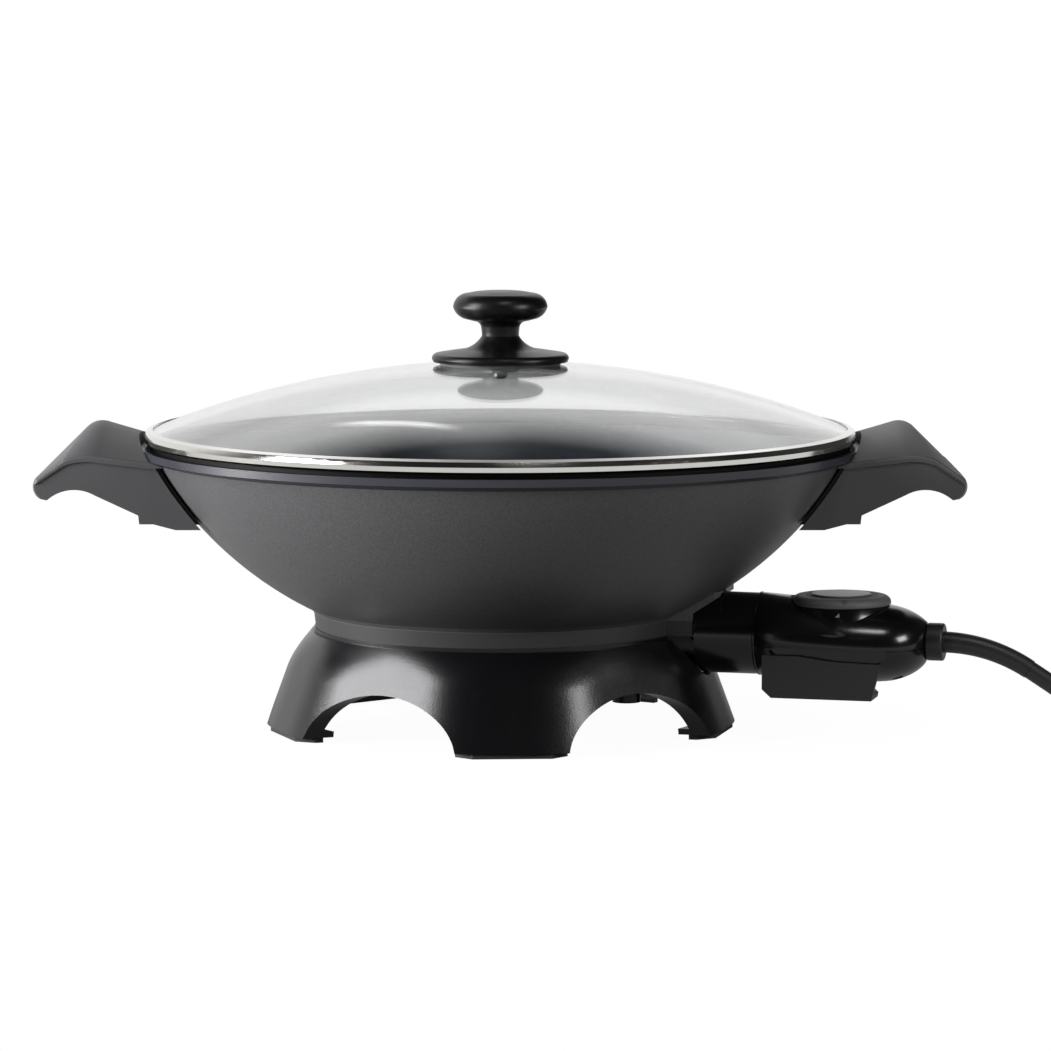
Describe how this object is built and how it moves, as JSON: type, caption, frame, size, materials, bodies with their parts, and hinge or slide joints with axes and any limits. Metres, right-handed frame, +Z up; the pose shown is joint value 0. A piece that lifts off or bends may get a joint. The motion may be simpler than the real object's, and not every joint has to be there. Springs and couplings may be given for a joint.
{
  "type": "electric wok",
  "caption": "Countertop electric wok: cast pan on a legged stand, lift-off domed glass lid, side handles and a plug-in thermostat control with its cord.",
  "frame": {"origin": "on the wok's axis, on the surface that the foot pads stand on", "axes": "+X through both handles towards the side with the control, +Y to the back, +Z up"},
  "size_m": [0.6483, 0.364, 0.221],
  "materials": {
    "pan_coating": "speckled non-stick coating on cast aluminium",
    "element_sheath": "satin steel sheath",
    "terminal_steel": "plated pins",
    "ceramic": "unglazed ceramic",
    "stand_plastic": "semi-gloss phenolic",
    "pad_rubber": "matt rubber",
    "screw_steel": "zinc-plated",
    "handle_plastic": "fine matt texture",
    "guard_steel": "blackened steel, bright edges",
    "lid_glass": "clear tempered glass",
    "band_steel": "polished stainless steel",
    "knob_plastic": "satin phenolic",
    "brass": "machined",
    "silicone": "silicone seal",
    "case_plastic": "glossy moulded case",
    "dial_soft": "soft-touch",
    "lever_plastic": "matt moulded",
    "spring_steel": "spring wire",
    "cord_rubber": "matt rubber jacket"
  },
  "bodies": {
    "base": {"wok_pan": "pan_coating", "heating_element": "element_sheath", "element_terminals": "terminal_steel", "terminal_bushes": "ceramic", "base_stand": "stand_plastic", "foot_pad_1": "pad_rubber", "foot_pad_2": "pad_rubber", "foot_pad_3": "pad_rubber", "foot_pad_4": "pad_rubber", "foot_pad_5": "pad_rubber", "stand_screws": "screw_steel", "right_handle": "handle_plastic", "left_handle": "handle_plastic", "right_handle_guard": "guard_steel", "left_handle_guard": "guard_steel", "handle_screws": "screw_steel"},
    "lid": {"lid_glass": "lid_glass", "lid_band": "band_steel", "knob_skirt": "knob_plastic", "knob_grip": "knob_plastic", "knob_insert": "brass", "knob_gasket": "silicone", "knob_lower_gasket": "silicone", "knob_washer": "screw_steel", "knob_screw": "screw_steel"},
    "control": {"control_collar": "case_plastic", "control_upper_shell": "case_plastic", "control_lower_shell": "case_plastic", "contact_block": "ceramic", "socket_contacts": "brass", "sensor_probe": "terminal_steel", "lever_pin": "screw_steel", "lever_spring": "spring_steel", "thermostat_frame": "screw_steel", "thermostat_stack": "ceramic", "thermostat_blades": "brass", "shell_screws": "screw_steel", "strain_relief": "cord_rubber", "supply_cord": "cord_rubber", "cord_coil": "cord_rubber", "plug_tail": "cord_rubber", "plug_body": "cord_rubber", "plug_pins": "terminal_steel"},
    "dial": {"dial_knob": "dial_soft", "dial_cap": "dial_soft", "dial_shaft": "screw_steel"},
    "eject_lever": {"eject_lever": "lever_plastic"}
  },
  "joints": [
    {"name": "lid_lift", "type": "slide", "parent": "base", "child": "lid", "axis": [0, 0, 1], "range_m": [0, 0.12]},
    {"name": "control_unplug", "type": "slide", "parent": "base", "child": "control", "axis": [0.969, -0.247, 0], "range_m": [0, 0.08]},
    {"name": "dial_turn", "type": "hinge", "parent": "control", "child": "dial", "pos_m": [0.17055, -0.04347, 0.067], "axis": [0, 0, 1], "range_deg": [-280, 0]},
    {"name": "lever_press", "type": "hinge", "parent": "control", "child": "eject_lever", "pos_m": [0.14244, -0.03631, 0.034], "axis": [-0.247, -0.969, 0], "range_deg": [0, 4], "stiffness_Nm_per_rad": 2, "springref_deg": -2.86, "deforming": ["lever_spring"]}
  ]
}
